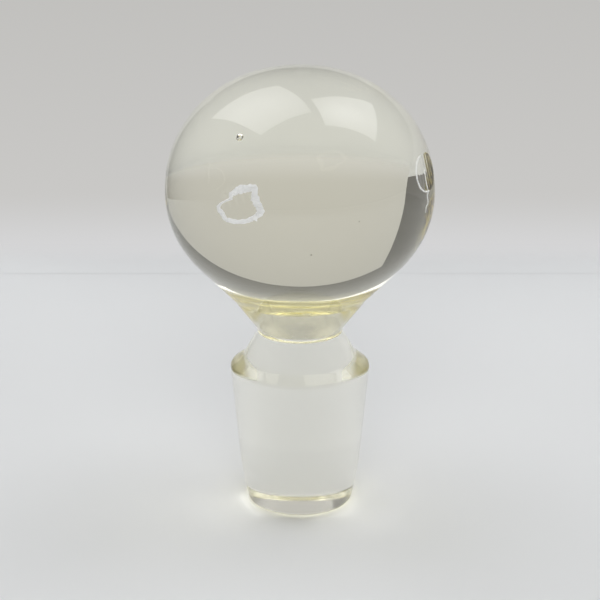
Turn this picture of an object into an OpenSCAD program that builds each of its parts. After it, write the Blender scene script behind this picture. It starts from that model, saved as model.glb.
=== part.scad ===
// Solid glass stopper with a ground, tapered plug, a pinched waist and a ball to hold it by.
// It stands on the plug's flat end, with the ball on top and one flake scar front left, one on the right.
// The outline is drawn as [radius, height above the plug's end] and turned about the axis.

/* [Plug] */
// Diameter of the plug's flat end, before its edge is rounded
end_d = 16.1; // [12:0.1:18]
// Radius of the rounded edge round the flat end
end_edge_r = 1; // [0.3:0.1:2.5]
// Length of the nose, which draws in toward the flat end
nose_len = 6.2; // [3:0.1:12]
// Diameter where the nose meets the ground taper
nose_d = 18.4; // [16:0.1:20]
// Radius that blends the nose into the ground taper
nose_blend_r = 20; // [5:1:40]
// Length of the plug, from its flat end to the rim
plug_len = 22.3; // [18:0.1:40]
// Widest diameter of the plug, at the rim
rim_d = 21.4; // [20:0.1:28]
// Radius of the rounded rim
rim_edge_r = 0.8; // [0.2:0.1:2]

/* [Neck] */
// Length of the steep face from the rim to the cove
rim_face_len = 1.5; // [0.8:0.1:4]
// Diameter at the cove, where the steep face turns into the shoulder
cove_d = 17.4; // [15:0.1:19]
// Radius of the cove
cove_r = 2; // [0.5:0.1:4]
// Length of the sloping shoulder, from the cove to the waist
shoulder_len = 4.3; // [2:0.1:10]
// Diameter of the waist, the narrowest place
waist_d = 12.6; // [9:0.1:14]
// Radius in the bottom of the waist
waist_r = 0.85; // [0.3:0.05:3]
// Length of the flared collar, from the waist to the ball
collar_len = 5.3; // [3:0.1:12]
// Diameter of the collar where the ball starts
collar_d = 20.6; // [16:0.1:24]
// Radius in the crease between the collar and the ball
crease_r = 0.4; // [0.1:0.1:2]

/* [Ball] */
// Diameter of the ball at its widest
ball_d = 40; // [36:0.5:60]
// Radius of the arc behind the widest line, on the side of the collar
heel_r = 15.3; // [8:0.1:17]
// Slope of the cone from that arc down to the collar, in degrees from the axis
heel_slope = 44; // [35:1:55]
// Height of the crown, from the widest line to the top of the ball
crown_h = 18.5; // [14:0.1:26]
// Fullness of the crown: 0.55 is an ellipse, and more is squarer
crown_fullness = 0.58; // [0.45:0.01:0.7]

/* [Flake scars] */
// Length of the scar on the front of the ball
front_scar_len = 7.2; // [6:0.1:10]
// Width of the scar on the front of the ball
front_scar_w = 5.6; // [3:0.1:5.8]
// Distance of the front scar from the widest line, toward the crown
front_scar_h = 2.8; // [1:0.1:8]
// Angle of the front scar round the axis, from +X toward +Y
front_scar_clock = 223; // [180:1:270]
// Turn of the front scar's long side from upright
front_scar_turn = 71; // [0:1:90]
// Length of the scar on the right side of the ball
side_scar_len = 8.4; // [6:0.1:10]
// Width of the scar on the right side of the ball
side_scar_w = 5.5; // [3:0.1:5.8]
// Distance of the side scar from the widest line, toward the crown
side_scar_h = 4.6; // [1:0.1:8]
// Angle of the side scar round the axis, from +X toward +Y
side_scar_clock = 319; // [280:1:360]
// Turn of the side scar's long side from upright
side_scar_turn = 90; // [0:1:90]

/* [Hidden] */

// Largest angle between two points of an arc, in degrees
arc_step = 3;
// Shortest chord of an arc, so that a small rounding gets only a few points
arc_chord = 0.4;
// Steps along the crown's curve
crown_steps = 30;
// Sides of a turned solid where it is drawn as a mesh
turn_sides = 108;
// Half of the span over which the crown's slope is measured
slope_span = 0.5;

ball_r = ball_d / 2;
cove_z = plug_len + rim_face_len;
waist_z = cove_z + shoulder_len;
crease_z = waist_z + collar_len;
// Radius at which the heel's arc turns into its cone
heel_end_r = ball_r - heel_r * (1 - cos(heel_slope));
heel_end_z = crease_z + (heel_end_r - collar_d / 2) / tan(heel_slope);
// Height of the ball's widest line
ball_z = heel_end_z + heel_r * sin(heel_slope);
heel_centre = [ball_r - heel_r, ball_z];

// Corners of the outline, from the flat end to the heel's arc
end_corner = [end_d / 2, 0];
nose_corner = [nose_d / 2, nose_len];
rim_corner = [rim_d / 2, plug_len];
cove_corner = [cove_d / 2, cove_z];
waist_corner = [waist_d / 2, waist_z];
crease_corner = [collar_d / 2, crease_z];
heel_end = [heel_end_r, heel_end_z];

// Unit vector from p to q
function heading(p, q) = (q - p) / norm(q - p);

// Half of the angle at corner p between its neighbours a and b
function half_angle(a, p, b) = acos(heading(p, a) * heading(p, b)) / 2;

// Distance from corner p at which its rounding starts, at most half of either side
function setback(a, p, b, r) =
    min(r / tan(half_angle(a, p, b)), norm(a - p) / 2, norm(b - p) / 2);

// Centre of the arc that rounds corner p
function round_centre(a, p, b, r) =
    p + heading([0, 0], heading(p, a) + heading(p, b))
        * setback(a, p, b, r) / cos(half_angle(a, p, b));

// Points of an arc about a centre, from one angle to another
function arc(centre, r, from, to) =
    let (
        step = max(arc_step, arc_chord / r * 180 / PI),
        steps = ceil(abs(to - from) / step)
    )
    [for (i = [0 : steps])
        let (angle = from + (to - from) * i / steps)
        centre + r * [cos(angle), sin(angle)]];

// Points of the arc that rounds corner p between its neighbours a and b
function rounded(a, p, b, r) =
    let (
        centre = round_centre(a, p, b, r),
        first = p + heading(p, a) * setback(a, p, b, r) - centre,
        last = p + heading(p, b) * setback(a, p, b, r) - centre,
        from = atan2(first.y, first.x),
        turn = (atan2(last.y, last.x) - from + 540) % 360 - 180
    )
    arc(centre, norm(first), from, from + turn);

// Point of the crown's curve, from the widest line at t = 0 to the top at t = 1
function crown_point(t) =
    let (
        side = [ball_r, 0],
        side_pull = [ball_r, crown_fullness * crown_h],
        top_pull = [crown_fullness * ball_r, crown_h],
        top = [0, crown_h]
    )
    [0, ball_z] + pow(1 - t, 3) * side + 3 * pow(1 - t, 2) * t * side_pull
        + 3 * (1 - t) * pow(t, 2) * top_pull + pow(t, 3) * top;

end_edge = rounded([0, 0], end_corner, nose_corner, end_edge_r);
heel = arc(heel_centre, heel_r, -heel_slope, 0);
crown = [for (i = [1 : crown_steps]) crown_point(i / crown_steps)];

outline = concat(
    [[0, 0]],
    end_edge,
    rounded(end_corner, nose_corner, rim_corner, nose_blend_r),
    rounded(nose_corner, rim_corner, cove_corner, rim_edge_r),
    rounded(rim_corner, cove_corner, waist_corner, cove_r),
    rounded(cove_corner, waist_corner, crease_corner, waist_r),
    rounded(waist_corner, crease_corner, heel_end, crease_r),
    heel,
    crown
);

// Radius of the crown at a height above the widest line
function crown_radius(h) =
    lookup(h, [for (i = [0 : crown_steps])
        let (p = crown_point(i / crown_steps))
        [p.y - ball_z, p.x]]);

// Angle by which the crown's surface leans away from upright at that height
function crown_lean(h) =
    atan2(crown_radius(h - slope_span) - crown_radius(h + slope_span), 2 * slope_span);

// Shape cut out by a flake scar: a cylinder laid against the crown, which bites a patch of the
// given length along the cylinder and the given width across it
module flake(h, clock, turn, len, w) {
    depth = pow(len, 2) / (8 * ball_r);
    bite_r = 1 / (8 * depth / pow(w, 2) - 1 / ball_r);
    translate([0, 0, ball_z + h])
        rotate([0, 0, clock])
            translate([crown_radius(h), 0, 0])
                rotate([0, -crown_lean(h), 0])
                    rotate([-turn, 0, 0])
                        translate([bite_r - depth, 0, 0])
                            cylinder(r = bite_r, h = 2 * len, center = true, $fn = turn_sides);
}

module stopper() {
    color([0.87, 0.86, 0.78, 0.6])
        difference() {
            rotate_extrude($fn = turn_sides)
                polygon(outline);
            flake(front_scar_h, front_scar_clock, front_scar_turn, front_scar_len, front_scar_w);
            flake(side_scar_h, side_scar_clock, side_scar_turn, side_scar_len, side_scar_w);
        }
}

stopper();
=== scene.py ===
"""Glass stopper: a turned, fire-polished body with its chips, crack and seeds, on a studio floor.

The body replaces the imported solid. It is turned from the same outline, only finer, and gets the
breakage and the trapped seeds that a plain solid leaves out. Sizes are in millimetres and
degrees. The stopper stands on its plug's flat end, so heights run up its axis toward the ball,
and each mesh becomes metres when it is placed.
"""
import logging
import math
import random
from dataclasses import dataclass, field

import bmesh
import bpy
from mathutils import Matrix, Vector, noise
from mathutils.bvhtree import BVHTree


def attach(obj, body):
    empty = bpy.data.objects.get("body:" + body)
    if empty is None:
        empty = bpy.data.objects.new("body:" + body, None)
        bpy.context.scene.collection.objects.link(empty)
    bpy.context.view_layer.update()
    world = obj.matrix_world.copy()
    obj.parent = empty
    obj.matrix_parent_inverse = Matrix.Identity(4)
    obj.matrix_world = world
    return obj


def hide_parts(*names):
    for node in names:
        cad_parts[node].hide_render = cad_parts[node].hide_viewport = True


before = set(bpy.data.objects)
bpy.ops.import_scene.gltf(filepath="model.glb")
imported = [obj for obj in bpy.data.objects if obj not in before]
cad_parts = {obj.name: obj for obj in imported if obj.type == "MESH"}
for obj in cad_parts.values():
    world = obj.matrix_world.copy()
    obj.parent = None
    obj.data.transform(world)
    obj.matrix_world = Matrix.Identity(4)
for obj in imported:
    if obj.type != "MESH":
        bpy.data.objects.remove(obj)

log = logging.getLogger("glass_stopper")

MM = 0.001
BODY = "root"
NODE = "stopper"

# Widest spacing of the outline's points on curves and on straight stretches
CURVE_STEP = 0.27
STRAIGHT_STEP = 0.8
# A straight stretch has a point this near to either end, which keeps its shading straight
STRAIGHT_GUARD = 0.08
# Widest angle between two points of a small rounding
ROUNDING_STEP = 7.5
# Steps of a full turn, few enough to keep the glass under 200,000 triangles
TURN_STEPS = 288
# Vertices nearer than this are one, as on the axis after a spin
MERGE_GAP = 1e-4
# A place on the crown's curve is found to this share of the curve
CURVE_GAP = 1e-7
# Half of the span over which the ball's slope is measured
SLOPE_SPAN = 0.5

# Sockets that a Mix node has for colours
MIX_FIRST = 6
MIX_SECOND = 7
MIX_RESULT = 2


def linear(colour: str) -> tuple[float, float, float, float]:
    """Turns an sRGB hex colour into linear light.

    Args:
        colour: Six hex digits, red first.

    Returns:
        Linear red, green, blue and an alpha of 1.
    """
    # The sRGB curve: straight near black and a power above that
    shares = [int(colour[i:i + 2], 16) / 255 for i in (0, 2, 4)]
    red, green, blue = [s / 12.92 if s <= 0.04045 else ((s + 0.055) / 1.055) ** 2.4 for s in shares]
    return red, green, blue, 1.0


def wrapped(angle: float) -> float:
    """Returns an angle in degrees as the shorter turn, between -180 and 180."""
    return (angle + 180) % 360 - 180


def add_node(
    tree: bpy.types.NodeTree, kind: str, inputs: dict | None = None, **settings,
) -> bpy.types.Node:
    """Adds one node to a tree, with its settings, values and links.

    Args:
        tree: The tree that the node joins.
        kind: The node's type name.
        inputs: Values or output sockets by input name or number.
        **settings: Properties of the node itself.

    Returns:
        The new node.
    """
    node = tree.nodes.new(kind)
    for name, value in settings.items():
        setattr(node, name, value)
    for key, value in (inputs or {}).items():
        if isinstance(value, bpy.types.NodeSocket):
            tree.links.new(value, node.inputs[key])
        else:
            node.inputs[key].default_value = value
    return node


def seen_plain(tree: bpy.types.NodeTree) -> bpy.types.NodeSocket:
    """Tells the rays that show a surface from those that only carry its light.

    Args:
        tree: The tree of the surface or the room.

    Returns:
        A value of 1 for what is seen, reflected or refracted, and 0 for what only lights.
    """
    rays = add_node(tree, "ShaderNodeLightPath")
    either = add_node(tree, "ShaderNodeMath", {
        0: rays.outputs["Is Camera Ray"], 1: rays.outputs["Is Glossy Ray"],
    }, operation="MAXIMUM")
    plain = add_node(tree, "ShaderNodeMath", {
        0: either.outputs["Value"], 1: rays.outputs["Is Transmission Ray"],
    }, operation="MAXIMUM")
    return plain.outputs["Value"]


def blank_material(name: str) -> tuple[bpy.types.Material, bpy.types.NodeTree, bpy.types.Node]:
    """Makes a node material that holds only its output.

    Args:
        name: The material's name.

    Returns:
        The material, its node tree and its output node.
    """
    material = bpy.data.materials.new(name)
    material.use_nodes = True
    tree = material.node_tree
    tree.nodes.clear()
    return material, tree, tree.nodes.new("ShaderNodeOutputMaterial")


def mesh_object(
    bm: bmesh.types.BMesh, name: str, finish: bpy.types.Material, smooth: bool = True,
) -> bpy.types.Object:
    """Makes a finished shape an object of the scene.

    Args:
        bm: The shape, in millimetres. It is freed.
        name: The object's name.
        finish: Its material.
        smooth: Whether its faces shade as one smooth skin.

    Returns:
        The new object.
    """
    bm.transform(Matrix.Scale(MM, 4))
    mesh = bpy.data.meshes.new(name)
    bm.to_mesh(mesh)
    bm.free()
    mesh.polygons.foreach_set("use_smooth", [smooth] * len(mesh.polygons))
    mesh.materials.append(finish)
    made = bpy.data.objects.new(name, mesh)
    bpy.context.scene.collection.objects.link(made)
    return made


# Finishes


@dataclass(frozen=True)
class ClearGlass:
    """Soda-lime glass, pressed and fire polished: clear and glossy.

    Its straw tint hardly shows at a thin edge and deepens where the light's path is long. The ground
    plug looks satin, and the collar is slightly dull from the tools.

    Attributes:
        ior: Its index of refraction.
        tint: The colour that it lets through.
        tint_density: How strongly it absorbs the rest, per metre.
        ground_roughness: Roughness of the ground plug.
        ground_fade: Height over which the ground surface ends.
        tooled_roughness: Roughness that the tools left on the collar.
        tooled_fade: Height over which the collar's dullness starts and ends.
    """

    name: str = "fire polished soda-lime glass"
    ior: float = 1.52
    tint: str = "F6ED87"
    tint_density: float = 6.0
    ground_roughness: float = 0.1
    ground_fade: float = 0.3
    tooled_roughness: float = 0.14
    tooled_fade: float = 0.7

    def material(self, ground_len: float, tooled: tuple[float, float]) -> bpy.types.Material:
        """Makes the glass, tinted by what it absorbs along the way and not at its skin.

        Args:
            ground_len: How far up the ground surface reaches, in millimetres.
            tooled: Lower and upper end of the collar, which the tools left dull, in millimetres.

        Returns:
            The glass, polished but for a satin ground plug and a dull collar.
        """
        material, tree, output = blank_material(self.name)
        place = add_node(tree, "ShaderNodeTexCoord")
        split = add_node(tree, "ShaderNodeSeparateXYZ", {"Vector": place.outputs["Object"]})
        height = split.outputs["Z"]
        ground = add_node(tree, "ShaderNodeMapRange", {
            "Value": height,
            "From Min": ground_len * MM,
            "From Max": (ground_len + self.ground_fade) * MM,
            "To Min": self.ground_roughness,
            "To Max": 0.0,
        })
        rise, fall = (
            add_node(tree, "ShaderNodeMapRange", {
                "Value": height,
                "From Min": end * MM,
                "From Max": (end + way * self.tooled_fade) * MM,
            }, interpolation_type="SMOOTHSTEP")
            for end, way in zip(tooled, (1, -1))
        )
        inside = add_node(tree, "ShaderNodeMath", {
            0: rise.outputs["Result"], 1: fall.outputs["Result"],
        }, operation="MULTIPLY")
        dulled = add_node(tree, "ShaderNodeMath", {
            0: inside.outputs["Value"], 1: self.tooled_roughness, 2: ground.outputs["Result"],
        }, operation="MULTIPLY_ADD")
        skin = add_node(tree, "ShaderNodeBsdfPrincipled", {
            "Base Color": (1.0, 1.0, 1.0, 1.0),
            "Roughness": dulled.outputs["Value"],
            "IOR": self.ior,
            "Transmission Weight": 1.0,
        })
        depth = add_node(tree, "ShaderNodeVolumeAbsorption", {
            "Color": linear(self.tint),
            "Density": self.tint_density,
        })
        tree.links.new(skin.outputs["BSDF"], output.inputs["Surface"])
        tree.links.new(depth.outputs["Volume"], output.inputs["Volume"])
        return material


@dataclass(frozen=True)
class CrushedGlass:
    """Glass crushed to splinters along a break: so many tiny faces that it looks like white frost.

    Attributes:
        splinter: How far across a splinter is.
        relief_h: Height of the splinters' relief.
        relief_share: Share of that relief which shows.
    """

    name: str = "crushed glass"
    colour: str = "FAFAF8"
    roughness: float = 0.6
    splinter: float = 1 / 9
    relief_h: float = 0.1
    relief_share: float = 0.4

    def material(self) -> bpy.types.Material:
        """Makes the finish.

        Returns:
            A white finish with a fine splintered relief.
        """
        material, tree, output = blank_material(self.name)
        place = add_node(tree, "ShaderNodeTexCoord")
        splinters = add_node(tree, "ShaderNodeTexVoronoi", {
            "Vector": place.outputs["Object"],
            "Scale": 1 / (self.splinter * MM),
        })
        relief = add_node(tree, "ShaderNodeBump", {
            "Height": splinters.outputs["Distance"],
            "Strength": self.relief_share,
            "Distance": self.relief_h * MM,
        })
        skin = add_node(tree, "ShaderNodeBsdfPrincipled", {
            "Base Color": linear(self.colour),
            "Roughness": self.roughness,
            "Normal": relief.outputs["Normal"],
        })
        tree.links.new(skin.outputs["BSDF"], output.inputs["Surface"])
        return material


@dataclass(frozen=True)
class MattFloor:
    """Plain pale studio floor: matt, with hardly any sheen.

    Attributes:
        sheen: How strongly it reflects, where 0.5 is usual.
    """

    name: str = "matt pale floor"
    colour: str = "E4E5E6"
    roughness: float = 0.95
    sheen: float = 0.1

    def material(self) -> bpy.types.Material:
        """Makes the finish.

        Returns:
            An even matt finish.
        """
        material, tree, output = blank_material(self.name)
        skin = add_node(tree, "ShaderNodeBsdfPrincipled", {
            "Base Color": linear(self.colour),
            "Roughness": self.roughness,
            "Specular IOR Level": self.sheen,
        })
        tree.links.new(skin.outputs["BSDF"], output.inputs["Surface"])
        return material


@dataclass(frozen=True)
class BackdropPaper:
    """Pale backdrop paper, seen as a glow of painted shade that darkens with height.

    It lights the object as a matt surface, but what is seen of it is a painted glow that doesn't
    depend
    on the lamps: its shade, darker with height, stands in for their light falling off up the paper.

    Attributes:
        lit: Its colour where it lights the object.
        foot: The painted shade seen at its foot.
        bend: The painted shade seen at its bend.
        top: The painted shade seen at its top.
        join_h: Height over which it takes over from the floor.
        bend_h: Height of the bend's painted shade.
        top_h: Height of the top's painted shade.
    """

    name: str = "pale backdrop paper with painted shade"
    lit: str = MattFloor.colour
    foot: str = "D6D6D7"
    bend: str = "C9C8C6"
    top: str = "BBBAB7"
    join_h: float = 3.0
    bend_h: float = 14.0
    top_h: float = 95.0

    def material(self) -> bpy.types.Material:
        """Makes the finish.

        Returns:
            The backdrop's finish, whose painted shade changes with height only.
        """
        material, tree, output = blank_material(self.name)
        place = add_node(tree, "ShaderNodeTexCoord")
        split = add_node(tree, "ShaderNodeSeparateXYZ", {"Vector": place.outputs["Object"]})
        low = add_node(tree, "ShaderNodeMapRange", {
            "Value": split.outputs["Z"], "From Max": self.bend_h * MM,
        }, interpolation_type="SMOOTHSTEP")
        high = add_node(tree, "ShaderNodeMapRange", {
            "Value": split.outputs["Z"], "From Min": self.bend_h * MM, "From Max": self.top_h * MM,
        })
        lower = add_node(tree, "ShaderNodeMix", {
            "Factor": low.outputs["Result"],
            MIX_FIRST: linear(self.foot),
            MIX_SECOND: linear(self.bend),
        }, data_type="RGBA")
        shade = add_node(tree, "ShaderNodeMix", {
            "Factor": high.outputs["Result"],
            MIX_FIRST: lower.outputs[MIX_RESULT],
            MIX_SECOND: linear(self.top),
        }, data_type="RGBA")
        # The painted shade glows for what is seen, in place of the lamps' light on the paper
        painted_glow = add_node(tree, "ShaderNodeEmission", {"Color": shade.outputs[MIX_RESULT]})
        matt = add_node(tree, "ShaderNodeBsdfDiffuse", {"Color": linear(self.lit)})
        rise = add_node(tree, "ShaderNodeMapRange", {
            "Value": split.outputs["Z"], "From Max": self.join_h * MM,
        }, interpolation_type="SMOOTHSTEP")
        share = add_node(tree, "ShaderNodeMath", {
            0: seen_plain(tree), 1: rise.outputs["Result"],
        }, operation="MULTIPLY")
        mix = add_node(tree, "ShaderNodeMixShader", {
            0: share.outputs["Value"], 1: matt.outputs["BSDF"], 2: painted_glow.outputs["Emission"],
        })
        # A camera behind the backdrop looks through it at the object
        side = add_node(tree, "ShaderNodeNewGeometry")
        rays = add_node(tree, "ShaderNodeLightPath")
        through = add_node(tree, "ShaderNodeMath", {
            0: side.outputs["Backfacing"], 1: rays.outputs["Is Camera Ray"],
        }, operation="MULTIPLY")
        clear = add_node(tree, "ShaderNodeBsdfTransparent")
        paper = add_node(tree, "ShaderNodeMixShader", {
            0: through.outputs["Value"], 1: mix.outputs["Shader"], 2: clear.outputs["BSDF"],
        })
        tree.links.new(paper.outputs["Shader"], output.inputs["Surface"])
        return material


# The turned outline


def heading(start: Vector, end: Vector) -> Vector:
    """Returns the unit vector from one point to another."""
    return (end - start).normalized()


def arc(centre: Vector, radius: float, first: float, last: float) -> list[Vector]:
    """Lays points along an arc.

    Args:
        centre: The arc's centre.
        radius: The arc's radius.
        first: Angle of the first point, in degrees.
        last: Angle of the last point, in degrees.

    Returns:
        The points, with both ends.
    """
    turn = math.radians(last - first)
    steps = max(
        math.ceil(abs(last - first) / ROUNDING_STEP),
        math.ceil(abs(turn) * radius / CURVE_STEP),
    )
    angles = [math.radians(first) + turn * i / steps for i in range(steps + 1)]
    return [centre + radius * Vector((math.cos(a), math.sin(a))) for a in angles]


@dataclass(frozen=True)
class Rounding:
    """The arc that rounds one corner of the outline between its two neighbours.

    Attributes:
        before: The neighbour nearer to the flat end.
        corner: The corner.
        after: The neighbour nearer to the ball.
        radius: The arc's radius.
    """

    before: Vector
    corner: Vector
    after: Vector
    radius: float

    @property
    def setback(self) -> float:
        """Distance from the corner at which the arc starts, at most half of either side."""
        half = heading(self.corner, self.before).angle(heading(self.corner, self.after)) / 2
        sides = (self.before - self.corner).length, (self.after - self.corner).length
        return min(self.radius / math.tan(half), sides[0] / 2, sides[1] / 2)

    @property
    def centre(self) -> Vector:
        """Centre of the arc."""
        to_before, to_after = heading(self.corner, self.before), heading(self.corner, self.after)
        half = to_before.angle(to_after) / 2
        return self.corner + (to_before + to_after).normalized() * self.setback / math.cos(half)

    def points(self) -> list[Vector]:
        """Lays out the arc.

        Returns:
            Its points, from the side of the earlier neighbour.
        """
        first = self.corner + heading(self.corner, self.before) * self.setback - self.centre
        last = self.corner + heading(self.corner, self.after) * self.setback - self.centre
        start = math.degrees(math.atan2(first.y, first.x))
        turn = wrapped(math.degrees(math.atan2(last.y, last.x)) - start)
        return arc(self.centre, first.length, start, start + turn)


@dataclass
class Outline:
    """The stopper's turned outline, as radius and height, with the sizes of the part's source.

    Attributes:
        end_d: Diameter of the plug's flat end, before its edge is rounded.
        end_edge_r: Radius of that edge.
        nose_len: Length of the nose, which draws in toward the flat end.
        nose_d: Diameter where the nose meets the ground taper.
        nose_blend_r: Radius that blends the two.
        plug_len: Length of the plug, from its flat end to the rim.
        rim_d: Diameter of the rim, the widest part of the plug.
        rim_edge_r: Radius of the rounded rim.
        rim_face_len: Length of the steep face from the rim to the cove.
        cove_d: Diameter of the cove, where the steep face turns into the shoulder.
        cove_r: Radius of the cove.
        shoulder_len: Length of the sloping shoulder, from the cove to the waist.
        waist_d: Diameter of the waist, the narrowest place.
        waist_r: Radius in the bottom of the waist.
        collar_len: Length of the flared collar, from the waist to the ball.
        collar_d: Diameter of the collar where the ball starts.
        crease_r: Radius in the crease between the two.
        ball_d: Diameter of the ball at its widest.
        heel_r: Radius of the arc from the ball's widest line to the heel's cone.
        heel_slope: Slope of that cone from the axis.
        crown_h: Height of the crown, from the ball's widest line to its top.
        crown_fullness: 0.55 makes the crown an ellipse, and more makes it squarer.
    """

    end_d: float = 16.1
    end_edge_r: float = 1.0
    nose_len: float = 6.2
    nose_d: float = 18.4
    nose_blend_r: float = 20.0
    plug_len: float = 22.3
    rim_d: float = 21.4
    rim_edge_r: float = 0.8
    rim_face_len: float = 1.5
    cove_d: float = 17.4
    cove_r: float = 2.0
    shoulder_len: float = 4.3
    waist_d: float = 12.6
    waist_r: float = 0.85
    collar_len: float = 5.3
    collar_d: float = 20.6
    crease_r: float = 0.4
    ball_d: float = 40.0
    heel_r: float = 15.3
    heel_slope: float = 44.0
    crown_h: float = 18.5
    crown_fullness: float = 0.58

    def __post_init__(self) -> None:
        """Works out the roundings, the ball's place and the whole path from the sizes."""
        self.ball_r = self.ball_d / 2
        slope = math.radians(self.heel_slope)
        cove_z = self.plug_len + self.rim_face_len
        self.waist_z = cove_z + self.shoulder_len
        self.crease_z = self.waist_z + self.collar_len
        heel_end_r = self.ball_r - self.heel_r * (1 - math.cos(slope))
        heel_end_z = self.crease_z + (heel_end_r - self.collar_d / 2) / math.tan(slope)
        self.ball_z = heel_end_z + self.heel_r * math.sin(slope)
        self.heel_centre = Vector((self.ball_r - self.heel_r, self.ball_z))
        corners = [
            Vector((0, 0)),
            Vector((self.end_d / 2, 0)),
            Vector((self.nose_d / 2, self.nose_len)),
            Vector((self.rim_d / 2, self.plug_len)),
            Vector((self.cove_d / 2, cove_z)),
            Vector((self.waist_d / 2, self.waist_z)),
            Vector((self.collar_d / 2, self.crease_z)),
            Vector((heel_end_r, heel_end_z)),
        ]
        radii = [
            self.end_edge_r, self.nose_blend_r, self.rim_edge_r,
            self.cove_r, self.waist_r, self.crease_r,
        ]
        self.roundings = [
            Rounding(before, corner, after, radius)
            for before, corner, after, radius in zip(corners, corners[1:], corners[2:], radii)
        ]
        self.path = self._filled(self._key_points())

    def crown_point(self, t: float) -> Vector:
        """Finds a point of the crown.

        Args:
            t: Place on the crown's curve, from 0 at the ball's widest line to 1 at its top.

        Returns:
            The point.
        """
        side, top = Vector((self.ball_r, 0)), Vector((0, self.crown_h))
        side_pull = Vector((self.ball_r, self.crown_fullness * self.crown_h))
        top_pull = Vector((self.crown_fullness * self.ball_r, self.crown_h))
        return (
            Vector((0, self.ball_z)) + (1 - t) ** 3 * side + 3 * (1 - t) ** 2 * t * side_pull
            + 3 * (1 - t) * t ** 2 * top_pull + t ** 3 * top
        )

    def _key_points(self) -> list[Vector]:
        """Lays out the arcs and curves.

        Returns:
            The outline, with its straight stretches still bare.
        """
        points = [Vector((0, 0))]
        for rounding in self.roundings:
            points += rounding.points()
        points += arc(self.heel_centre, self.heel_r, -self.heel_slope, 0)
        steps = math.ceil(math.pi / 2 * self.ball_r / CURVE_STEP)
        return points + [self.crown_point(i / steps) for i in range(1, steps + 1)]

    @staticmethod
    def _filled(points: list[Vector]) -> list[Vector]:
        """Fills in the long straight stretches.

        Args:
            points: The outline, with its straight stretches bare.

        Returns:
            The outline, with those stretches guarded at their ends and divided evenly.
        """
        filled = [points[0]]
        for start, end in zip(points, points[1:]):
            length = (end - start).length
            if length > 2 * CURVE_STEP:
                guard = (end - start) * STRAIGHT_GUARD / length
                parts = math.ceil((length - 2 * STRAIGHT_GUARD) / STRAIGHT_STEP)
                filled += [(start + guard).lerp(end - guard, i / parts) for i in range(parts + 1)]
            filled.append(end)
        return filled

    def ball_radius(self, height: float) -> float:
        """Finds the ball's radius.

        Args:
            height: Height above the ball's widest line.

        Returns:
            The radius at that height.
        """
        if height < 0:
            return self.heel_centre.x + math.sqrt(self.heel_r ** 2 - height ** 2)
        low, high = 0.0, 1.0
        while high - low > CURVE_GAP:
            middle = (low + high) / 2
            if self.crown_point(middle).y - self.ball_z < height:
                low = middle
            else:
                high = middle
        return self.crown_point(low).x

    def spot(self, height: float, clock: float) -> Matrix:
        """Finds the frame of a spot on the ball.

        Args:
            height: Distance of the spot above the ball's widest line.
            clock: Angle of the spot round the axis, from +X toward +Y.

        Returns:
            The spot's frame: +X out of the glass, +Y round the axis, +Z up the ball.
        """
        drop = self.ball_radius(height - SLOPE_SPAN) - self.ball_radius(height + SLOPE_SPAN)
        lean = math.atan2(drop, 2 * SLOPE_SPAN)
        return (
            Matrix.Translation((0, 0, self.ball_z + height))
            @ Matrix.Rotation(math.radians(clock), 4, "Z")
            @ Matrix.Translation((self.ball_radius(height), 0, 0))
            @ Matrix.Rotation(-lean, 4, "Y")
        )


# Marks, breakage and seeds


@dataclass(frozen=True)
class ToolMarks:
    """Faint unevenness that the tools left in the hot glass.

    Attributes:
        first: Height where the marks start.
        last: Height where they end.
        depth: How far they go in and out.
        pitch: How far apart they are round the axis.
        run: How far each one runs along the axis.
        fade: Height over which they start and end, and how far they keep from the axis.
    """

    first: float
    last: float
    depth: float
    pitch: float
    run: float
    fade: float = 1.5

    def press(self, bm: bmesh.types.BMesh) -> None:
        """Moves the skin in and out along the marks.

        Args:
            bm: The glass, in millimetres.
        """
        for vert in bm.verts:
            share = min(vert.co.z - self.first, self.last - vert.co.z) / self.fade
            flat = Vector((vert.co.x, vert.co.y))
            if share <= 0 or flat.length < self.fade:
                continue
            place = Vector((vert.co.x / self.pitch, vert.co.y / self.pitch, vert.co.z / self.run))
            move = flat.normalized() * self.depth * min(share, 1.0) * noise.noise(place)
            vert.co += move.to_3d()


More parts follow.
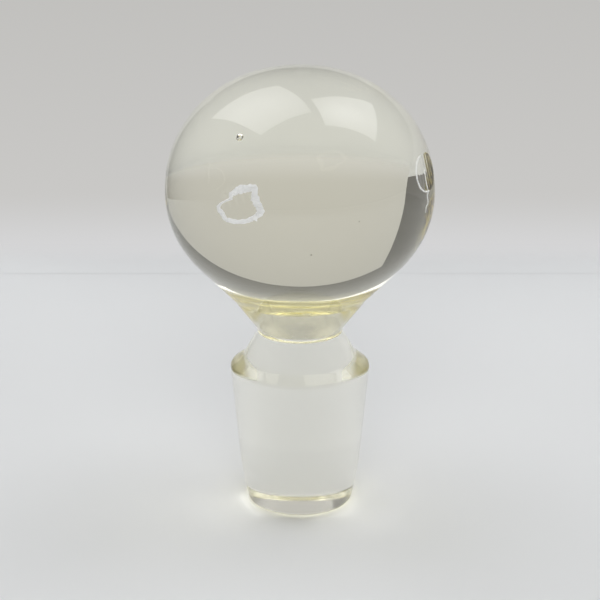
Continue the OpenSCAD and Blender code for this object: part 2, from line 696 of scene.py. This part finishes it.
@dataclass(frozen=True)
class FlakeScar:
    """A shallow scar where a flake has come off the ball, rippled like a shell.

    Attributes:
        length: Its length along the cut.
        width: Its width across the cut.
        height: Its distance above the ball's widest line.
        clock: Its angle round the axis, from +X toward +Y.
        turn: The turn of its long side from upright.
        ripple_pitch: Distance from one ripple to the next.
        ripple_h: How far the ripples go in and out.
        ripple_fade: Share of the scar's depth over which the ripples start at its edge.
        patch_size: Size of the patch that is refined, where the scar is 1.
        patch_cuts: Cuts across each of the patch's faces.
        patch_ease: How far beyond that patch its vertices are still laid on the ball.
    """

    length: float
    width: float
    height: float
    clock: float
    turn: float
    ripple_pitch: float = 1.1
    ripple_h: float = 0.012
    ripple_fade: float = 0.3
    patch_size: float = 1.25
    patch_cuts: int = 3
    patch_ease: float = 0.1

    def press(self, bm: bmesh.types.BMesh, outline: Outline) -> None:
        """Refines the glass round the scar and takes the flake off it.

        Args:
            bm: The glass, in millimetres.
            outline: The outline that the glass was turned from.
        """
        spot = outline.spot(self.height, self.clock)
        place = spot @ Matrix.Rotation(math.radians(-self.turn), 4, "X")
        back = place.inverted()

        def share(point: Vector) -> float:
            """Finds how far out a point lies.

            Args:
                point: The point, in millimetres.

            Returns:
                Its distance from the scar's middle, with 1 at the scar's edge.
            """
            local = back @ point
            # Glass deep below the scar, such as the far side of the ball, isn't near it
            if abs(local.x) > self.width:
                return math.inf
            return math.hypot(2 * local.y / self.width, 2 * local.z / self.length)

        near = {v for v in bm.verts if share(v.co) < self.patch_size}
        edges = [e for e in bm.edges if e.verts[0] in near and e.verts[1] in near]
        bmesh.ops.subdivide_edges(bm, edges=edges, cuts=self.patch_cuts, use_grid_fill=True)
        depth = self.length ** 2 / (8 * outline.ball_r)
        bite_r = 1 / (8 * depth / self.width ** 2 - 1 / outline.ball_r)
        for vert in bm.verts:
            if share(vert.co) > self.patch_size + self.patch_ease:
                continue
            true_r = outline.ball_radius(vert.co.z - outline.ball_z)
            flat_r = math.hypot(vert.co.x, vert.co.y)
            vert.co.x *= true_r / flat_r
            vert.co.y *= true_r / flat_r
            local = back @ vert.co
            floor_x = bite_r - depth - math.sqrt(bite_r ** 2 - local.y ** 2)
            taken = local.x - floor_x
            if taken > 0:
                strike = math.hypot(local.y, local.z + self.length / 2)
                ripple = self.ripple_h * math.sin(2 * math.pi * strike / self.ripple_pitch)
                local.x = floor_x + ripple * min(1.0, taken / (self.ripple_fade * depth))
                vert.co = place @ local


@dataclass(frozen=True)
class Seed:
    """A small round bubble trapped in the glass.

    Attributes:
        size: Its diameter.
        height: Its distance above the ball's widest line, toward the crown.
        clock: Its angle round the axis, from +X toward +Y.
        from_axis: Its distance from the axis.
        stretch: How much longer it is along the axis than across it.
    """

    size: float
    height: float
    clock: float
    from_axis: float
    stretch: float = 1.0

    def blow(self, bm: bmesh.types.BMesh, outline: Outline) -> None:
        """Adds the bubble's wall to the glass, facing into the bubble.

        Args:
            bm: The glass, in millimetres.
            outline: The outline that the glass was turned from.
        """
        place = (
            Matrix.Translation((0, 0, outline.ball_z + self.height))
            @ Matrix.Rotation(math.radians(self.clock), 4, "Z")
            @ Matrix.Translation((self.from_axis, 0, 0))
            @ Matrix.Diagonal((1, 1, self.stretch, 1))
        )
        made = bmesh.ops.create_icosphere(bm, subdivisions=3, radius=self.size / 2, matrix=place)
        walls = {face for vert in made["verts"] for face in vert.link_faces}
        bmesh.ops.reverse_faces(bm, faces=list(walls))


# A place on a crushed line: degrees round its centre, distance from it, width of the crushing
CrushPlace = tuple[float, float, float]


@dataclass(frozen=True)
class CrushedLine:
    """A line of crushed glass on the ball: the rim of a flake scar, or the mouth of a crack.

    Attributes:
        name: The piece's name.
        height: Distance of its centre above the ball's widest line.
        clock: Angle of its centre round the axis, from +X toward +Y.
        places: The places that it runs through. Their angles start below its centre and turn
            clockwise, as seen from outside.
        closed: Whether the last place joins the first.
        roughness: How far splinters stray from the line, as a share of its own spacing.
        feather: How much the line's width varies from one stroke to the next, as a share of it.
        seed: Seed of the splinters.
        lift: Distance of the crust from the glass.
        relief: How far the highest splinters stand out of the crust.
        thickness: Thickness of the crust.
        steps: Strokes from one place to the next.
        cuts: Cuts across each stroke.
        reach: How far outside the glass the search for its skin starts.
    """

    name: str
    height: float
    clock: float
    places: tuple[CrushPlace, ...]
    closed: bool = True
    roughness: float = 0.2
    feather: float = 0.4
    seed: int = 1
    lift: float = 0.015
    relief: float = 0.1
    thickness: float = 0.06
    steps: int = 5
    cuts: int = 3
    reach: float = 5.0

    def strokes(self, splinters: random.Random) -> list[CrushPlace]:
        """Lays a smooth curve of feathered strokes through the places.

        Args:
            splinters: Source of the strokes' unevenness.

        Returns:
            The strokes, in order along the line.
        """
        last = len(self.places) - 1
        line = []
        for i in range(last + 1 if self.closed else last):
            if self.closed:
                near = [self.places[(i + k) % (last + 1)] for k in (-1, 0, 1, 2)]
            else:
                near = [self.places[min(max(i + k, 0), last)] for k in (-1, 0, 1, 2)]
            first = near[1][0]
            turns = [first + wrapped(place[0] - first) for place in near]
            distances, widths = [place[1] for place in near], [place[2] for place in near]
            for step in range(self.steps):
                t = step / self.steps
                # Twice each place's share in a spline that passes through the middle two
                pull = (
                    ((2 - t) * t - 1) * t,
                    (3 * t - 5) * t * t + 2,
                    ((4 - 3 * t) * t + 1) * t,
                    (t - 1) * t * t,
                )
                turn, distance, width = (
                    sum(p * v for p, v in zip(pull, values)) / 2
                    for values in (turns, distances, widths)
                )
                width *= 1 + self.feather * (splinters.random() - 0.5)
                line.append((turn, distance, width))
        return line if self.closed else line + [self.places[-1]]

    def build(self, outline: Outline, glass: BVHTree) -> bmesh.types.BMesh:
        """Makes the line as a thin jagged crust on the glass.

        Args:
            outline: The outline that the glass was turned from.
            glass: The glass, to lay the crust on.

        Returns:
            The crust, in millimetres.
        """
        spot = outline.spot(self.height, self.clock)
        bm = bmesh.new()
        rows: list[list[bmesh.types.BMVert]] = [[], []]
        splinters = random.Random(self.seed)
        for turn, distance, width in self.strokes(splinters):
            angle = math.radians(turn)
            way = Vector((0, -math.sin(angle), -math.cos(angle)))
            for row, side in zip(rows, (-0.5, 0.5)):
                row.append(bm.verts.new(way * (distance + side * width)))
        edges = []
        for row in rows:
            ends = zip(row, row[1:] + row[:1]) if self.closed else zip(row, row[1:])
            edges += [bm.edges.new(pair) for pair in ends]
        bmesh.ops.bridge_loops(bm, edges=edges)
        bmesh.ops.subdivide_edges(
            bm, edges=bm.edges[:], cuts=self.cuts, use_grid_fill=True,
            fractal=self.roughness, along_normal=0.0, seed=self.seed,
        )
        out = spot.to_3x3() @ Vector((1, 0, 0))
        for vert in bm.verts:
            start = spot @ Vector((0, vert.co.y, vert.co.z)) + self.reach * out
            hit = glass.ray_cast(start, -out)[0]
            height = self.lift + (0 if vert.is_boundary else splinters.random() * self.relief)
            vert.co = hit + height * out if hit else start - self.reach * out
        bmesh.ops.recalc_face_normals(bm, faces=bm.faces[:])
        bmesh.ops.solidify(bm, geom=bm.faces[:], thickness=self.thickness)
        bmesh.ops.recalc_face_normals(bm, faces=bm.faces[:])
        return bm


NECK_MARKS = ToolMarks(first=25.5, last=36.0, depth=0.03, pitch=1.1, run=3.0)
BALL_MARKS = ToolMarks(first=33.0, last=66.0, depth=0.05, pitch=7.0, run=9.0)

FRONT_SCAR = FlakeScar(length=7.2, width=5.6, height=2.8, clock=223, turn=71)
SIDE_SCAR = FlakeScar(length=8.4, width=5.5, height=4.6, clock=319, turn=90)

SEEDS = (
    Seed(size=1.1, height=11.2, clock=217, from_axis=15.9),
    Seed(size=0.22, height=-4.1, clock=253, from_axis=19.0),
    Seed(size=0.18, height=0.3, clock=273, from_axis=19.4),
)

SCAR_RIM = CrushedLine(
    name="crushed_scar_rim", height=FRONT_SCAR.height, clock=FRONT_SCAR.clock,
    places=(
        (5, 2.5, 0.6), (28, 2.75, 0.65), (42, 3.05, 0.6), (57, 3.0, 0.7), (75, 3.3, 0.6),
        (84, 2.9, 0.5), (95, 2.15, 0.45), (112, 1.5, 0.5), (130, 1.75, 0.65), (152, 1.7, 0.75),
        (171, 1.95, 1.0), (195, 2.2, 1.3), (213, 2.8, 1.4), (223, 3.2, 1.1), (236, 2.7, 1.2),
        (250, 2.6, 1.2), (266, 2.85, 1.2), (278, 3.3, 1.15), (289, 3.3, 0.9), (299, 3.0, 0.65),
        (311, 2.75, 0.7), (325, 2.6, 0.6), (344, 2.45, 0.6),
    ),
)
# The side scar's near edge, as a thin crushed rim whose white is also a painted reflection: the
# bright line there is the floor that the edge reflects and refracts
SIDE_RIM_AND_PAINTED_REFLECTION = CrushedLine(
    name="crushed_side_rim_painted_reflection", height=SIDE_SCAR.height, clock=SIDE_SCAR.clock, closed=False, seed=2,
    places=(
        (20, 2.85, 0.06), (36, 3.15, 0.2), (52, 3.6, 0.16), (68, 4.0, 0.28), (84, 4.2, 0.2),
        (100, 4.15, 0.24), (118, 3.85, 0.14), (136, 3.3, 0.2), (150, 3.0, 0.06),
    ),
)
FOOT_CRACK = CrushedLine(
    name="crushed_crack", height=2.2, clock=303.9, closed=False, seed=3,
    places=(
        (316, 4.46, 0.06), (306, 4.0, 0.3), (296, 4.35, 0.22), (283, 3.8, 0.4), (270, 4.25, 0.25),
        (260, 4.5, 0.42), (250, 5.0, 0.25), (243, 5.55, 0.3), (237, 5.86, 0.06),
    ),
)


# The dressed pieces


@dataclass
class GlassBody:
    """The stopper's glass, turned in one piece, with its flake scars and its seeds.

    Attributes:
        outline: The outline that it is turned from.
        marks: The unevenness that the tools left.
        scars: The flake scars.
        seeds: The seeds.
        crusts: What is crushed on it: the scars' rims, the side one also a painted reflection, and
            the crack's mouth.
        glass: Its finish.
        crushed: The crusts' finish.
    """

    outline: Outline = field(default_factory=Outline)
    marks: tuple[ToolMarks, ...] = (NECK_MARKS, BALL_MARKS)
    scars: tuple[FlakeScar, ...] = (FRONT_SCAR, SIDE_SCAR)
    seeds: tuple[Seed, ...] = SEEDS
    crusts: tuple[CrushedLine, ...] = (SCAR_RIM, SIDE_RIM_AND_PAINTED_REFLECTION, FOOT_CRACK)
    glass: ClearGlass = ClearGlass()
    crushed: CrushedGlass = CrushedGlass()

    def turn(self) -> bmesh.types.BMesh:
        """Turns the outline about its axis and closes it at both poles.

        Returns:
            The glass, in millimetres.
        """
        bm = bmesh.new()
        verts = [bm.verts.new((point.x, 0, point.y)) for point in self.outline.path]
        edges = [bm.edges.new(pair) for pair in zip(verts, verts[1:])]
        bmesh.ops.spin(
            bm, geom=verts + edges, cent=(0, 0, 0), axis=(0, 0, 1), dvec=(0, 0, 0),
            angle=2 * math.pi, steps=TURN_STEPS, use_merge=True, use_duplicate=False,
        )
        bmesh.ops.remove_doubles(bm, verts=bm.verts[:], dist=MERGE_GAP)
        bmesh.ops.recalc_face_normals(bm, faces=bm.faces[:])
        return bm

    @staticmethod
    def dress(piece: bpy.types.Object) -> bpy.types.Object:
        """Makes an object a glass piece of the stopper.

        Args:
            piece: The object.

        Returns:
            The same object, which rides on the body.
        """
        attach(piece, BODY)
        log.info("%s: %d faces", piece.name, len(piece.data.polygons))
        return piece

    def build(self) -> list[bpy.types.Object]:
        """Builds the glass and what is crushed on it, and dresses them.

        Returns:
            The pieces, with the glass first.
        """
        bm = self.turn()
        for scar in self.scars:
            scar.press(bm, self.outline)
        for mark in self.marks:
            mark.press(bm)
        skin = BVHTree.FromBMesh(bm)
        for seed in self.seeds:
            seed.blow(bm, self.outline)
        ground_len = self.outline.plug_len + self.outline.rim_edge_r
        collar = (self.outline.waist_z + self.outline.waist_r, self.outline.crease_z)
        finish = self.glass.material(ground_len, collar)
        body = self.dress(mesh_object(bm, "stopper_glass", finish))
        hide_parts(NODE)
        frost = self.crushed.material()
        return [body] + [
            self.dress(mesh_object(crust.build(self.outline, skin), crust.name, frost, smooth=False))
            for crust in self.crusts
        ]


# The studio


@dataclass(frozen=True)
class SoftBox:
    """A rectangular lamp, given by its middle and its two sides, in millimetres.

    Attributes:
        name: The lamp's name.
        middle: Its middle, from the middle of the ball.
        across: Its side from left to right.
        along: Its side from far to near.
        level: Its brightness at its brightest spot, where a white surface in plain light is 1.
        edge: Share of that brightness at its darkest edge.
        spot: The brightest spot, as shares of its sides from the far left corner.
        fade: How far from the spot it fades, as shares of its sides.
        matt_only: Whether only matt surfaces catch its light, so that the glass doesn't show it.
    """

    name: str
    middle: tuple[float, float, float]
    across: tuple[float, float, float]
    along: tuple[float, float, float]
    level: float
    edge: float
    spot: tuple[float, float]
    fade: tuple[float, float]
    matt_only: bool = False

    def hang(self, ball: Vector) -> bpy.types.Object:
        """Adds the lamp.

        Args:
            ball: The middle of the ball, in metres.

        Returns:
            The lamp's object.
        """
        across, along = Vector(self.across), Vector(self.along)
        side = across.normalized()
        back = along.cross(across).normalized()
        lamp = bpy.data.lights.new(self.name, "AREA")
        lamp.shape = "RECTANGLE"
        lamp.size, lamp.size_y = across.length * MM, along.length * MM
        lamp.energy = self.level * math.pi * lamp.size * lamp.size_y
        self.shade(lamp)
        hung = bpy.data.objects.new(self.name, lamp)
        turn = Matrix((side, back.cross(side), back)).transposed().to_4x4()
        hung.matrix_world = Matrix.Translation(ball + Vector(self.middle) * MM) @ turn
        if self.matt_only:
            hung.visible_camera = hung.visible_glossy = hung.visible_transmission = False
        bpy.context.scene.collection.objects.link(hung)
        return hung

    def shade(self, lamp: bpy.types.AreaLight) -> None:
        """Makes the lamp fade from its brightest spot to its edges.

        Args:
            lamp: The lamp.
        """
        lamp.use_nodes = True
        tree = lamp.node_tree
        tree.nodes.clear()
        place = add_node(tree, "ShaderNodeNewGeometry")
        away = add_node(tree, "ShaderNodeVectorMath", {
            0: place.outputs["Parametric"], 1: (self.spot[0], 1 - self.spot[1], 0),
        }, operation="SUBTRACT")
        share = add_node(tree, "ShaderNodeVectorMath", {
            0: away.outputs["Vector"], 1: (1 / self.fade[0], 1 / self.fade[1], 0),
        }, operation="MULTIPLY")
        distance = add_node(tree, "ShaderNodeVectorMath", {
            0: share.outputs["Vector"],
        }, operation="LENGTH")
        level = add_node(tree, "ShaderNodeMapRange", {
            "Value": distance.outputs["Value"], "To Min": 1.0, "To Max": self.edge,
        }, interpolation_type="SMOOTHSTEP")
        glow = add_node(tree, "ShaderNodeEmission", {"Strength": level.outputs["Result"]})
        output = tree.nodes.new("ShaderNodeOutputLight")
        tree.links.new(glow.outputs["Emission"], output.inputs["Surface"])


@dataclass(frozen=True)
class Studio:
    """Floor, backdrop, lamps, room and camera.

    Attributes:
        bounces: How often light may turn inside the glass before it leaves.
        floor_size: The floor's side.
        floor_gap: Air between the floor and the flat end, which touches it only here and there,
            so that light turns back at the flat end.
        floor_back: Distance of the floor's far edge behind the axis.
        sweep_back: Distance of the backdrop behind the axis.
        sweep_r: Radius of the sweep from the floor up the backdrop.
        sweep_steps: Steps of that sweep.
        sweep_top: The backdrop's top.
        sweep_left: The backdrop's left end, before it is turned.
        sweep_turn: The backdrop's turn round the upright, which faces it to the camera.
        sweep_width: The backdrop's width.
        sweep_lean: How far its ends lean to the right, as a share of height.
        finish: The floor's finish.
        paper: The backdrop's finish.
        lamps: The lamps.
        behind: The room's colour behind the object.
        before: The room's colour in front of it.
        ceiling: The room's colour above it.
        wall_span: Where the front changes into the back, from -1 in front to 1 behind.
        ceiling_span: Where the walls change into the ceiling, from 0 at the sides to 1 overhead.
        fill: The even light that matt surfaces get from the room.
        lens: The camera's focal length.
        sensor: The width of its sensor.
        distance: Its distance from the point that it is aimed at.
        azimuth: Its angle round the upright.
        elevation: Its angle above the floor.
        aim_h: Height of the point that it is aimed at.
        clip: The nearest and the farthest that it sees.
    """

    bounces: int = 40
    floor_size: float = 3000.0
    floor_gap: float = 0.03
    floor_back: float = 195.0
    sweep_back: float = 152.0
    sweep_r: float = 26.0
    sweep_steps: int = 16
    sweep_top: float = 98.0
    sweep_left: float = -40.0
    sweep_turn: float = -21.65
    sweep_width: float = 900.0
    sweep_lean: float = 0.22
    finish: MattFloor = MattFloor()
    paper: BackdropPaper = BackdropPaper()
    lamps: tuple[SoftBox, ...] = (
        SoftBox(
            "far_soft_box", (-85, 270, 530), (365, 60, 290), (0, -550, 90),
            level=2.42, edge=0.5, spot=(0.35, 0.64), fade=(1.1, 0.6),
        ),
        SoftBox(
            "right_soft_box", (283, 35, 525), (245, 10, -370), (-29, -381, 6),
            level=3.1, edge=0.5, spot=(0.42, 0.6), fade=(0.75, 0.6),
        ),
        SoftBox(
            "front_fill", (-150, -370, 250), (286, -90, 0), (-49, -157, -252),
            level=3.4, edge=0.6, spot=(0.5, 0.5), fade=(0.7, 0.7), matt_only=True,
        ),
    )
    behind: str = "6A6967"
    before: str = "585856"
    ceiling: str = "BEBEBC"
    wall_span: tuple[float, float] = (-0.4, 0.3)
    ceiling_span: tuple[float, float] = (0.25, 0.9)
    fill: str = "8F9090"
    lens: float = 98.6
    sensor: float = 36.0
    distance: float = 249.5
    azimuth: float = -21.65
    elevation: float = 18.59
    aim_h: float = 32.5
    clip: tuple[float, float] = (10.0, 20000.0)

    def lay_floor(self) -> bpy.types.Object:
        """Lays the floor, which isn't part of the object.

        Returns:
            The floor.
        """
        bm = bmesh.new()
        half = self.floor_size / 2
        middle = Matrix.Translation((0, self.floor_back - half, -self.floor_gap))
        bmesh.ops.create_grid(bm, x_segments=1, y_segments=1, size=half, matrix=middle)
        return self.set_down(bm, "floor", self.finish.material())

    def hang_backdrop(self) -> bpy.types.Object:
        """Hangs the backdrop, which rises from the floor behind the object in one soft sweep.

        Returns:
            The backdrop, which isn't part of the object.
        """
        bm = bmesh.new()
        foot = Vector((self.sweep_left, self.sweep_back - self.sweep_r, 0))
        verts = [bm.verts.new(foot)]
        turned = bmesh.ops.spin(
            bm, geom=verts, cent=foot + Vector((0, 0, self.sweep_r)), axis=(1, 0, 0), dvec=(0, 0, 0),
            angle=math.pi / 2, steps=self.sweep_steps,
        )
        ends = [v for v in turned["geom_last"] if v.is_valid]
        raised = bmesh.ops.extrude_vert_indiv(bm, verts=ends)
        bmesh.ops.translate(bm, verts=raised["verts"], vec=(0, 0, self.sweep_top - self.sweep_r))
        pulled = bmesh.ops.extrude_edge_only(bm, edges=bm.edges[:])
        wide = [v for v in pulled["geom"] if isinstance(v, bmesh.types.BMVert)]
        bmesh.ops.translate(bm, verts=wide, vec=(self.sweep_width, 0, 0))
        for vert in bm.verts:
            vert.co.x += self.sweep_lean * vert.co.z
        hinge = Matrix.Translation((0, self.sweep_back, 0))
        turn = Matrix.Rotation(math.radians(self.sweep_turn), 4, "Z")
        bm.transform(hinge @ turn @ hinge.inverted())
        return self.set_down(bm, "backdrop", self.paper.material())

    @staticmethod
    def set_down(bm: bmesh.types.BMesh, name: str, finish: bpy.types.Material) -> bpy.types.Object:
        """Makes an object of the studio, which isn't part of the stopper.

        Args:
            bm: Its shape, in millimetres. It is freed.
            name: Its name.
            finish: Its material.

        Returns:
            The new object.
        """
        thing = mesh_object(bm, name, finish)
        return thing

    def surround(self) -> None:
        """Sets the room: a pale ceiling, dim walls behind the object and dark ones in front of it.

        Matt surfaces get an even fill instead.
        """
        world = bpy.data.worlds.new("studio")
        bpy.context.scene.world = world
        world.use_nodes = True
        tree = world.node_tree
        tree.nodes.clear()
        output = tree.nodes.new("ShaderNodeOutputWorld")
        place = add_node(tree, "ShaderNodeTexCoord")
        split = add_node(tree, "ShaderNodeSeparateXYZ", {"Vector": place.outputs["Generated"]})
        back = add_node(tree, "ShaderNodeMapRange", {
            "Value": split.outputs["Y"],
            "From Min": self.wall_span[0],
            "From Max": self.wall_span[1],
        }, interpolation_type="SMOOTHSTEP")
        walls = add_node(tree, "ShaderNodeMix", {
            "Factor": back.outputs["Result"],
            MIX_FIRST: linear(self.before),
            MIX_SECOND: linear(self.behind),
        }, data_type="RGBA")
        height = add_node(tree, "ShaderNodeMapRange", {
            "Value": split.outputs["Z"],
            "From Min": self.ceiling_span[0],
            "From Max": self.ceiling_span[1],
        }, interpolation_type="SMOOTHSTEP")
        colour = add_node(tree, "ShaderNodeMix", {
            "Factor": height.outputs["Result"],
            MIX_FIRST: walls.outputs[MIX_RESULT],
            MIX_SECOND: linear(self.ceiling),
        }, data_type="RGBA")
        room = add_node(tree, "ShaderNodeBackground", {"Color": colour.outputs[MIX_RESULT]})
        fill = add_node(tree, "ShaderNodeBackground", {"Color": linear(self.fill)})
        mix = add_node(tree, "ShaderNodeMixShader", {
            0: seen_plain(tree), 1: fill.outputs["Background"], 2: room.outputs["Background"],
        })
        tree.links.new(mix.outputs["Shader"], output.inputs["Surface"])

    def set_camera(self) -> bpy.types.Object:
        """Adds the camera, aimed at the stopper's middle, and makes it the scene's.

        Returns:
            The camera's object.
        """
        turn = (
            Matrix.Rotation(math.radians(self.azimuth), 4, "Z")
            @ Matrix.Rotation(math.radians(90 - self.elevation), 4, "X")
        )
        camera = bpy.data.objects.new("camera", bpy.data.cameras.new("camera"))
        camera.data.lens, camera.data.sensor_width = self.lens, self.sensor
        camera.data.clip_start, camera.data.clip_end = (end * MM for end in self.clip)
        aim = Matrix.Translation((0, 0, self.aim_h * MM))
        camera.matrix_world = aim @ turn @ Matrix.Translation((0, 0, self.distance * MM))
        bpy.context.scene.collection.objects.link(camera)
        bpy.context.scene.camera = camera
        return camera

    def build(self, ball_h: float) -> None:
        """Builds the studio round the stopper.

        Args:
            ball_h: Height of the ball's middle above the floor, in metres.
        """
        scene = bpy.context.scene
        scene.view_settings.view_transform = "Standard"
        # Light turns many times inside the glass before it leaves, and stays sharp
        scene.cycles.max_bounces = self.bounces
        scene.cycles.glossy_bounces = self.bounces
        scene.cycles.transmission_bounces = self.bounces
        scene.cycles.blur_glossy = 0.0
        self.lay_floor()
        self.hang_backdrop()
        for lamp in self.lamps:
            lamp.hang(Vector((0, 0, ball_h)))
        self.surround()
        self.set_camera()


def main() -> None:
    logging.basicConfig(level=logging.INFO, format="%(name)s: %(message)s")
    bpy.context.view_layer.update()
    body = GlassBody()
    pieces = body.build()
    Studio().build(body.outline.ball_z * MM)
    log.info("pieces: %s", ", ".join(piece.name for piece in pieces))


if __name__ == "__main__":
    main()
